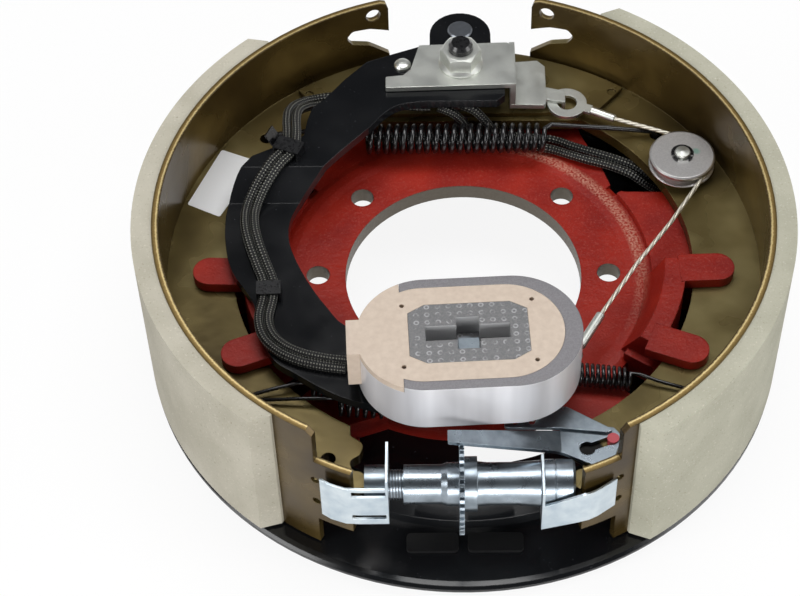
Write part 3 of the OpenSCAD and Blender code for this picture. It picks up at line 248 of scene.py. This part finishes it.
# Mild steel under thin gold-brown lacquer: dark, with a high shine; upward faces such as the webs are painted paler
# as painted light, with a pale gold painted highlight along the table's edge and a painted shadow under the lever's
# keyhole
def gold_brown_lacquer():
    material, t, place = empty_material("gold_brown_lacquer")
    cloud = noise(t, place, 42, 3.0)
    # Upright faces take the darker tones and upward faces the paler ones: painted shade and painted light.
    shaded_brown = tones(t, cloud, (0.3, "#3a2c15"), (0.5, "#50401f"), (0.72, "#705d32"))
    lit_brown = tones(t, cloud, (0.3, "#55482a"), (0.5, "#71633c"), (0.72, "#918459"))
    up = across(t, upward(t), 0.7, 0.9)
    # Near-black under the lever's keyhole: a painted shadow.
    keyhole_shadow = across(t, from_point(t, place, (53.9, -112.5, 19.1)), 8.5, 7)
    brown = blend(t, keyhole_shadow, blend(t, up, shaded_brown, lit_brown), "#0b0907")
    # A pale gold line along the table's top edge, between darker brown: a painted highlight.
    outward = across(t, from_axle(t, place), 142.2, 145.5, -0.15, 0.85)
    outward = scaled_sum(t, noise(t, place, 1.0, 3.0), 0.3, outward)
    rim_highlight = tones(t, outward, (0.12, "#4a3a1c"), (0.34, "#d9c48c"), (0.5, "#8a7140"), (0.85, "#5c4a22"))
    height = add(t, "SeparateXYZ", {0: place}).outputs["Z"]
    rim = product(t, up, across(t, height, 36, 37))
    return finished(material, t, {
        "Base Color": blend(t, rim, brown, rim_highlight),
        "Roughness": blend(t, rim, across(t, cloud, 0, 1, 0.2, 0.34), 0.42, "FLOAT"),
        "Metallic": 0.6,
        "Normal": relief(t, noise(t, place, 11), 0.00016, edge(t, 0.0006, 3)),
    })


# Moulded friction compound with ground faces: chalky, with fine dark and pale grit. The secondary, on the right, is
# painted a little darker as painted shade.
def ground_friction_lining():
    material, t, place = empty_material("ground_friction_lining")
    grit = noise(t, place, 1.1, 3.0)
    cloud = noise(t, place, 28, 4.0)
    primary = tones(t, cloud, (0.3, "#a7a292"), (0.7, "#bab5a6"))
    secondary = tones(t, cloud, (0.3, "#a09e8d"), (0.7, "#b3b1a0"))
    side = across(t, add(t, "SeparateXYZ", {0: place}).outputs["X"], -1, 1)
    # The right-hand lining takes the darker tones: painted shade.
    base = blend(t, side, primary, secondary)
    base = blend(t, across(t, grit, 0.62, 0.74, 0, 0.6), base, "#d8d3c6")
    return finished(material, t, {
        "Base Color": blend(t, across(t, grit, 0.37, 0.28, 0, 0.55), base, "#77725f"),
        "Roughness": 0.86,
        "Normal": relief(t, grit, 0.00012, add(t, "NewGeometry").outputs["Normal"]),
    })


# Plated and plain metals: slow tone changes over the surface, and edges that catch the light
def metal(name, dark, light, roughness):
    material, t, place = empty_material(name)
    cloud = noise(t, place, 9, 4.0)
    return finished(material, t, {
        "Base Color": tones(t, cloud, (0.32, dark), (0.68, light)),
        "Roughness": across(t, cloud, 0.3, 0.7, roughness + 0.06, roughness - 0.05),
        "Metallic": 1.0,
        "Normal": edge(t),
    })


# Surfaces without a metal's shine: oiled spring wire, rubber, the painted mark and the label
def plain_coat(name, colour, roughness, coat=0.0):
    material, t, place = empty_material(name)
    return finished(material, t, {
        "Base Color": colour,
        "Roughness": across(t, noise(t, place, 1.5), 0.3, 0.7, roughness - 0.06, roughness + 0.06),
        "Coat Weight": coat,
        "Coat Roughness": 0.15,
    })


# Braided sleeve: black yarns that cross at a slant, with a painted sheen that makes the crowns paler where they lie
# on top
def braided_sleeve():
    material, t, _ = empty_material("braided_sleeve")
    weave = product(t, strands(t, 2.8, 4.0), strands(t, 2.8, -4.0))
    crown_sheen = across(t, weave, -0.2, 0.9)
    return finished(material, t, {
        "Base Color": tones(t, crown_sheen, (0.2, "#050506"), (0.62, "#131416"), (0.9, "#8c8c82")),
        "Roughness": 0.42,
        "Normal": add(t, "Bump", {"Height": weave, "Distance": 0.00035}),
    })


# Stranded steel rope: strands laid one way, with painted shade darkening the grooves between them
def stranded_steel():
    material, t, _ = empty_material("stranded_steel_rope")
    strand = strands(t, 1.3, 3.0)
    return finished(material, t, {
        # Darker grooves between the strands: painted shade.
        "Base Color": tones(t, across(t, strand, -1.0, -0.1), (0.0, "#a39c8c"), (1.0, "#eee9da")),
        "Roughness": 0.45,
        "Metallic": 0.5,
        "Normal": add(t, "Bump", {"Height": strand, "Distance": 0.0001}),
    })


# Sintered iron pole piece: flat grey, with rows of small pressed rings in its face and walls painted paler as painted
# light
def pressed_pole_iron():
    row, column, ring_radius, ring_half = 4.87, 4.3, 0.95, 0.35
    material, t, place = empty_material("sintered_pole_iron")
    turned = add(t, "Mapping", {"Vector": place, "Location": (-1.3, 77.5, 0), "Rotation": (0, 0, math.radians(-2.8))})
    cell = add(t, "VectorMath", {0: turned, 1: (1 / row, 1 / column, 0)}, operation="MULTIPLY")
    cell = add(t, "VectorMath", {0: cell}, operation="FRACTION")
    cell = add(t, "VectorMath", {0: cell, 1: (0.5, 0.5, 0)}, operation="SUBTRACT")
    cell = add(t, "VectorMath", {0: cell, 1: (row, column, 0)}, operation="MULTIPLY")
    far = add(t, "VectorMath", {0: cell}, operation="LENGTH").outputs["Value"]
    ring = add(t, "Math", {0: far, 1: ring_radius, 2: ring_half}, operation="COMPARE")
    top = across(t, upward(t), 0.8, 0.95)
    kept = product(t, across(t, noise(t, place, 3.2), 0.4, 0.6, 0, 0.5), top, ring)
    grey = tones(t, noise(t, place, 0.8), (0.35, "#6a6a6b"), (0.65, "#767677"))
    return finished(material, t, {
        # Walls take the pale grey as painted light; the face keeps the darker grey.
        "Base Color": blend(t, kept, blend(t, top, "#b4b4b5", grey), "#b9b9bb"),
        "Roughness": 0.5,
        "Metallic": 0.45,
        "Normal": edge(t),
    })


# Drawn steel of the magnet case: streaked sides painted bright as painted light from the front, and a less shiny,
# darker ground rim
def drawn_steel():
    material, t, place = empty_material("drawn_steel")
    up = across(t, upward(t), 0.6, 0.9)
    streaks = noise(t, add(t, "Mapping", {"Vector": place, "Scale": (1, 1, 0.08)}), 12)
    # The sides' bright tones are painted light, standing in for the front softbox's reflection.
    side = tones(t, streaks, (0.35, "#cfced1"), (0.65, "#eae9ec"))
    rim = tones(t, noise(t, place, 0.7, 3.0), (0.35, "#737174"), (0.65, "#7f7d80"))
    return finished(material, t, {
        "Base Color": blend(t, up, side, rim),
        "Roughness": blend(t, up, 0.33, 0.5, "FLOAT"),
        "Metallic": 0.4,
        "Normal": edge(t, 0.0006),
    })


# Copper-filled resin of the coil: pale and fine-grained, a little worn in patches
def copper_filled_resin():
    material, t, place = empty_material("copper_filled_resin")
    return finished(material, t, {
        "Base Color": tones(t, noise(t, place, 3, 4.0), (0.3, "#bcab9b"), (0.7, "#c7b7a7")),
        "Roughness": 0.45,
        "Normal": edge(t),
    })


# Tumbled steel of the guide wheel, with a dab of green inspection ink
def tumbled_steel():
    material, t, place = empty_material("tumbled_steel")
    far = scaled_sum(t, noise(t, place, 1.5), 1.2, from_point(t, place, (116.1, 59.7, 30.0)))
    grey = tones(t, noise(t, place, 0.8, 3.0), (0.35, "#c2c0bf"), (0.65, "#cecccb"))
    return finished(material, t, {
        "Base Color": blend(t, across(t, far, 3.0, 1.6, 0, 0.6), grey, "#6fb9a3"),
        "Roughness": 0.4,
        "Metallic": 1.0,
        "Normal": edge(t, samples=6),
    })


FINISHES = {
    "cast_red": cast_iron_in_red_primer(),
    "black_paint": black_enamel(),
    "gold_brown_paint": gold_brown_lacquer(),
    "lining": ground_friction_lining(),
    "zinc": metal("zinc_plate_satin", "#cdcfc9", "#e4e6e0", 0.38),
    "bright_clip": metal("zinc_plate_bright", "#bccad4", "#dbe5ea", 0.33),
    "grey_steel": tumbled_steel(),
    "dark_steel": metal("plain_steel", "#6a6e74", "#8b8f95", 0.36),
    "black_oxide": plain_coat("oiled_spring_wire", "#0c0c0e", 0.3, 0.4),
    "bronze": metal("sintered_bronze", "#7d6536", "#a08450", 0.45),
    "magnet_steel": drawn_steel(),
    "coil_resin": copper_filled_resin(),
    "core_iron": pressed_pole_iron(),
    "cable_steel": stranded_steel(),
    "braided_sleeve": braided_sleeve(),
    "black_rubber": plain_coat("moulded_rubber", "#09090a", 0.5),
    "red_mark": plain_coat("red_paint_mark", "#b5404a", 0.4),
    "white_label": plain_coat("coated_paper_label", "#f4f5f6", 0.4),
}

# The adjuster, its lever and the magnet clip have a thinner, bluer and darker zinc than the other plated pieces
BLUE_ZINC = metal("zinc_plate_blue", "#7b848b", "#a2adb6", 0.3)
BLUE_ZINC_NODES = ("adjusting_lever", "lever_hook_plate", "adjuster_screw", "star_wheel_sleeve", "adjuster_socket",
                   "magnet_clip")

for part in frame["record"]["subparts"]:
    node = cad[part["node"]]
    node.data.materials.clear()
    node.data.materials.append(BLUE_ZINC if part["node"] in BLUE_ZINC_NODES else FINISHES[part["material_slot"]])


# Shape helpers
def smooth(points, steps=5):
    """A smooth curve through the given points, as the CAD draws it."""
    out = []
    for i in range(len(points) - 1):
        a, b, c, d = [Vector(points[j]) for j in (max(i - 1, 0), i, i + 1, min(i + 2, len(points) - 1))]
        for k in range(steps):
            f = k / steps
            out.append(0.5 * (2 * b + (c - a) * f + (2 * a - 5 * b + 4 * c - d) * f * f
                              + (3 * b - a - 3 * c + d) * f**3))
    return out + [Vector(points[-1])]


def coil(start, end, mean_r, turns, per_turn):
    """Points of a coil between two points, starting at its top."""
    start, end = Vector(start), Vector(end)
    axis = (end - start).normalized()
    up = (Vector((0, 0, 1)) - axis.z * axis).normalized()
    side = axis.cross(up)
    count = round(turns * per_turn)
    out = []
    for i in range(count + 1):
        a = math.pi / 2 + 2 * math.pi * i / per_turn
        out.append(start + (end - start) * i / count + mean_r * (math.sin(a) * up + math.cos(a) * side))
    return out


def wire(name, points, diameter, body, slot, stands_for=(), sides=12):
    """A round wire or lead along points in mm, as a piece of a body, in place of the CAD nodes it stands for.

    Its UV map runs in mm along it, and once round it.
    """
    curve = bpy.data.curves.new(name + "_line", "CURVE")
    curve.dimensions = "3D"
    curve.bevel_depth = diameter / 2 / MM_PER_METRE
    curve.bevel_resolution = sides // 2 - 2
    curve.use_fill_caps = True
    line = curve.splines.new("POLY")
    line.points.add(len(points) - 1)
    length = 0.0
    for i, p in enumerate(points):
        line.points[i].co = (*(Vector(p) / MM_PER_METRE), 1)
        if i:
            length += (Vector(p) - Vector(points[i - 1])).length
    holder = bpy.data.objects.new(name + "_line", curve)
    scene.collection.objects.link(holder)
    mesh = bpy.data.meshes.new_from_object(holder.evaluated_get(bpy.context.evaluated_depsgraph_get()))
    bpy.data.objects.remove(holder)
    mesh.name = name
    mesh.materials.append(FINISHES[slot])
    for corner in mesh.uv_layers[0].data:
        corner.uv[0] *= length
    for face in mesh.polygons:
        face.use_smooth = True
    piece = bpy.data.objects.new(name, mesh)
    scene.collection.objects.link(piece)
    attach(piece, body)
    if stands_for:
        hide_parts(*stands_for)
    return piece


# Tension springs, each a close coil with a long hook at either end that goes down through a hole
WEB_LOW, WEB_TOP = 12.7, 19.1
THICK_WIRE, THICK_COIL = 2.5, 15.4
THIN_WIRE, THIN_COIL = 1.8, 11.4


def retractor_route():
    y, z, mean_r = 77, 22.3, (THICK_COIL - THICK_WIRE) / 2
    left_end, right_end, hook_y = -49, 41.8, 81
    hook = [(98.5, hook_y, WEB_LOW - 1.5), (98.5, hook_y, WEB_TOP - 1), (96.3, hook_y, WEB_TOP + 2.6),
            (89.5, hook_y - 0.54, WEB_TOP + 4.2), (74.5, hook_y - 1.44, WEB_TOP + 7)]
    left = [(-p[0], p[1], p[2]) for p in hook] + [(left_end - 3.5, y + 2.5, z + mean_r + 0.3)]
    right = [(right_end + 3.5, y + 2.5, z + mean_r + 0.3)] + hook[::-1]
    return left + coil((left_end, y, z), (right_end, y, z), mean_r, turns=22, per_turn=24) + right


def shoe_spring_route():
    sag = 28
    mean_r = (THIN_COIL - THIN_WIRE) / 2
    middle = coil((-71.5, -76.2, 19), (75.5, -72.2, 18.6), mean_r, turns=60, per_turn=20)
    last = len(middle) - 1
    middle = [p + Vector((0, sag * (i / last) * (1 - i / last), 0)) for i, p in enumerate(middle)]
    left = [(-104.5, -83.6, WEB_LOW - 1), (-104.5, -83.6, WEB_TOP), (-102.5, -82.6, WEB_TOP + 2.2),
            (-86, -78.4, 22.8), (-77, -76.6, 23.8)]
    right = [(80, -73, 23.4), (88, -76.2, 22.6), (102.5, -80.4, WEB_TOP + 2.2), (104.5, -81.2, WEB_TOP),
             (104.5, -81.2, WEB_LOW - 1)]
    return left + middle + right


def lever_spring_route():
    mean_r = (THIN_COIL - THIN_WIRE) / 2
    middle = coil((-59.2, -86, 20), (-37, -87.5, 20), mean_r, turns=6, per_turn=24)
    left = [(-97.4, -84.4, WEB_LOW - 1), (-97.4, -84.4, WEB_TOP), (-95.4, -84.2, WEB_TOP + 2.2),
            (-74, -84.8, 23.2), (-64, -85.8, 24.6)]
    right = [(-32, -88.5, 24.8), (-12, -91.8, 24.6), (8, -95, 25), (18.6, -96.2, 25.2), (21.6, -96.8, 24.4),
             (22.4, -97, 22.6), (22.4, -97, 20.6)]
    return left + middle + right


wire("retractor_spring_wire", retractor_route(), THICK_WIRE, "backing", "black_oxide", ["retractor_spring"])
wire("shoe_spring_wire", shoe_spring_route(), THIN_WIRE, "backing", "black_oxide", ["shoe_spring"], sides=10)
wire("lever_spring_wire", lever_spring_route(), THIN_WIRE, "backing", "black_oxide", ["lever_spring"], sides=10)

# Cone spring under the magnet, with a mesh of its own; only its rest shape is made, though the real one shortens as
# the magnet is pushed down by 3 mm
MAGNET_Y = -77.5
CONE_WIRE, CONE_LOW_R, CONE_HIGH_R = 1.6, 14, 10
CONE_STEPS, CONE_STEPS_PER_TURN = 84, 24


def magnet_spring_route():
    low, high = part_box("magnet_spring")
    low, high = low[2] * MM_PER_METRE + CONE_WIRE / 2, high[2] * MM_PER_METRE - CONE_WIRE / 2
    out = []
    for i in range(CONE_STEPS + 1):
        a = 2 * math.pi * i / CONE_STEPS_PER_TURN
        r = CONE_LOW_R + (CONE_HIGH_R - CONE_LOW_R) * i / CONE_STEPS
        out.append((r * math.cos(a), MAGNET_Y + r * math.sin(a), low + (high - low) * i / CONE_STEPS))
    return out


magnet_spring = wire("magnet_spring_wire", magnet_spring_route(), CONE_WIRE, "arm", "dark_steel", ["magnet_spring"])
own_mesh(magnet_spring)

# Leads in braided sleeves, two along the arm and two along the spider
LEAD_D = 4.5
LEAD_GAP = 0.05
ARM_TOP = 31.2
ARM_LEAD_FLAT = [(-54, -73.6), (-64, -72), (-75, -69), (-84, -64), (-90.4, -56.8), (-93, -47), (-91.6, -36),
                 (-91.4, -26), (-95.4, -14), (-100, 0), (-102.4, 12)]
ARM_LEAD_RISE = [(-101.8, 22, 33.9), (-97.6, 32, 38), (-91, 42.4, 42.3), (-84.4, 52, 42.4), (-83.4, 61, 42.4),
                 (-84, 71, 41.8), (-83.6, 80, 39.4), (-80.4, 88.6, 34.6), (-72.5, 94.6, 31.2), (-57, 96.6, 31.4),
                 (-38, 94.5, 31.8), (-22, 92.5, 31.8), (-15.5, 92.4, 31.8)]
PLATE_LEAD_A = [(-11.5, 89.8, 31.6), (-4, 88.4, 28.6), (1, 88.2, 22), (5, 87, 15.6), (13, 84.8, 11.8),
                (27, 82.8, 11.7), (44, 79.4, 11.6), (54, 75.4, 11.6), (63.6, 71, 12)]
PLATE_LEAD_B = [(-11.5, 95.1, 31.6), (-4, 93.6, 31.4), (6.5, 90.6, 28.4), (12.6, 88.6, 22), (17, 88.2, 16),
                (25.6, 88.2, 11.8), (45.4, 86, 11.4), (56, 81, 11.6), (66, 76.4, 12)]
PLATE_LEAD_END = [(75.4, 70, 11.2), (86, 66, 9.4), (95, 63.6, 3.6), (102.5, 64.4, -3), (108, 67.6, -11),
                  (110.3, 70.7, -19.5), (110.6, 71, -24.5), (110.6, 71, -30), (110.6, 71, -36)]


def arm_lead(by):
    """The route along the arm, moved sideways so that two leads lie side by side."""
    whole = [(*p, ARM_TOP + LEAD_D / 2 + LEAD_GAP) for p in ARM_LEAD_FLAT] + ARM_LEAD_RISE
    moved = []
    for i, p in enumerate(whole):
        ahead, behind = whole[min(i + 1, len(whole) - 1)], whole[max(i - 1, 0)]
        run = Vector((ahead[0] - behind[0], ahead[1] - behind[1])).normalized()
        moved.append((p[0] - by * run.y, p[1] + by * run.x, p[2]))
    return smooth(moved)


def plate_lead(points, dx, dy):
    """A route of its own along the spider, then the shared end, moved sideways."""
    return smooth(points + [(p[0] + dx, p[1] + dy, p[2]) for p in PLATE_LEAD_END])


wire("arm_lead_sleeve_inner", arm_lead(-LEAD_D / 2 - LEAD_GAP), LEAD_D, "arm", "braided_sleeve",
     ["arm_lead_inner"], sides=16)
wire("arm_lead_sleeve_outer", arm_lead(LEAD_D / 2 + LEAD_GAP), LEAD_D, "arm", "braided_sleeve",
     ["arm_lead_outer"], sides=16)
wire("plate_lead_sleeve_inner", plate_lead(PLATE_LEAD_A, -1.4, -2), LEAD_D, "backing", "braided_sleeve",
     ["plate_lead_inner"], sides=16)
wire("plate_lead_sleeve_outer", plate_lead(PLATE_LEAD_B, 1.6, 2.6), LEAD_D, "backing", "braided_sleeve",
     ["plate_lead_outer"], sides=16)

# Adjusting cable, laid rope round the guide wheel
CABLE_D, CABLE_GAP = 2.0, 0.15
WHEEL_X, WHEEL_Y, GROOVE_Z, GROOVE_R = 109, 57.5, 26.2, 13.2
WRAP_START, WRAP, WRAP_STEPS = 67.5, 98.5, 21


def cable_route():
    r = GROOVE_R + CABLE_D / 2 + CABLE_GAP
    wrap = []
    for i in range(WRAP_STEPS + 1):
        a = math.radians(WRAP_START - WRAP * i / WRAP_STEPS)
        wrap.append((WHEEL_X + r * math.cos(a), WHEEL_Y + r * math.sin(a), GROOVE_Z))
    return [(77.5, 86.3, GROOVE_Z - 0.4), (96, 78.6, GROOVE_Z), *wrap, (100.4, 16.3, GROOVE_Z),
            (82, -9.8, GROOVE_Z - 0.4), (63.6, -39.6, GROOVE_Z - 0.8)]


wire("adjusting_cable_rope", cable_route(), CABLE_D, "secondary", "cable_steel", ["adjusting_cable"])

# Thread of the adjuster screw, a fine ridge wound on its plain shank
SCREW_Y, SCREW_Z = -127.2, 15.9
RIDGE_D, RIDGE_R = 0.8, 6.5
RIDGE_START, RIDGE_LENGTH = -36.0, 7.6
RIDGE_STEPS, RIDGE_STEPS_PER_TURN = 144, 24

ridge = []
for i in range(RIDGE_STEPS + 1):
    a = 2 * math.pi * i / RIDGE_STEPS_PER_TURN
    ridge.append((RIDGE_START + RIDGE_LENGTH * i / RIDGE_STEPS, SCREW_Y + RIDGE_R * math.cos(a),
                  SCREW_Z + RIDGE_R * math.sin(a)))
wire("adjuster_thread", ridge, RIDGE_D, "screw", "dark_steel", sides=6)

# Floor of white paper, just under the lowest point
FLOOR_GAP, FLOOR_HALF, FLOOR_GLOW = 0.0005, 6.0, 0.9

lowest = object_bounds()[0].z
floor_mesh = bpy.data.meshes.new("floor")
shape = bmesh.new()
bmesh.ops.create_grid(shape, x_segments=1, y_segments=1, size=FLOOR_HALF)
bmesh.ops.translate(shape, verts=shape.verts, vec=(0, 0, lowest - FLOOR_GAP))
shape.to_mesh(floor_mesh)
shape.free()
floor = bpy.data.objects.new("floor", floor_mesh)
scene.collection.objects.link(floor)
paper, t, _ = empty_material("white_paper_floor")
matt = add(t, "BsdfDiffuse", {"Color": "#8f8f8f"})
bright = add(t, "BsdfDiffuse", {"Color": "#f0f0f0"})
rays = add(t, "LightPath").outputs
seen = add(t, "Math", {0: rays["Is Camera Ray"], 1: rays["Is Glossy Ray"]}, operation="MAXIMUM")
seen = add(t, "Math", {0: seen, 1: rays["Is Transmission Ray"]}, operation="MAXIMUM")
glow = add(t, "Emission", {"Color": "#ffffff", "Strength": 1.0})
lit = add(t, "MixShader", {0: product(t, seen, FLOOR_GLOW), 1: bright, 2: glow})
add(t, "OutputMaterial", {"Surface": add(t, "MixShader", {0: seen, 1: matt, 2: lit})})
floor_mesh.materials.append(paper)

# World: white at the horizon and dark overhead, so that black enamel stays black
world = bpy.data.worlds.new("studio")
scene.world = world
world.use_nodes = True
t = world.node_tree
t.nodes.clear()
height = add(t, "SeparateXYZ", {0: add(t, "TexCoord").outputs["Generated"]}).outputs["Z"]
sky = tones(t, height, (0.0, "#ffffff"), (0.22, "#ffffff"), (0.4, "#6f7072"), (0.7, "#29292b"), (1.0, "#3c3d40"))
add(t, "OutputWorld", {"Surface": add(t, "Background", {"Color": sky, "Strength": 1.0})})


def softbox(name, at, aim, width, depth, power):
    """A rectangular light of so many watts that looks at a point."""
    data = bpy.data.lights.new(name, "AREA")
    data.shape = "RECTANGLE"
    data.size, data.size_y = width, depth
    data.energy = power
    lamp = bpy.data.objects.new(name, data)
    lamp.location = at
    lamp.rotation_euler = (Vector(aim) - Vector(at)).to_track_quat("-Z", "Y").to_euler()
    scene.collection.objects.link(lamp)


softbox("softbox_top", (0.1, 0.3, 1.5), (0, 0, 0), 1.5, 0.7, 17)
softbox("softbox_left", (-1.3, -0.7, 0.9), (0, 0, 0), 0.8, 0.8, 11)
softbox("softbox_right", (1.4, -0.3, 0.7), (0, 0, 0), 0.8, 0.8, 8)
softbox("softbox_front", (0.1, -1.5, 0.35), (0, -0.05, 0), 1.2, 0.5, 14)
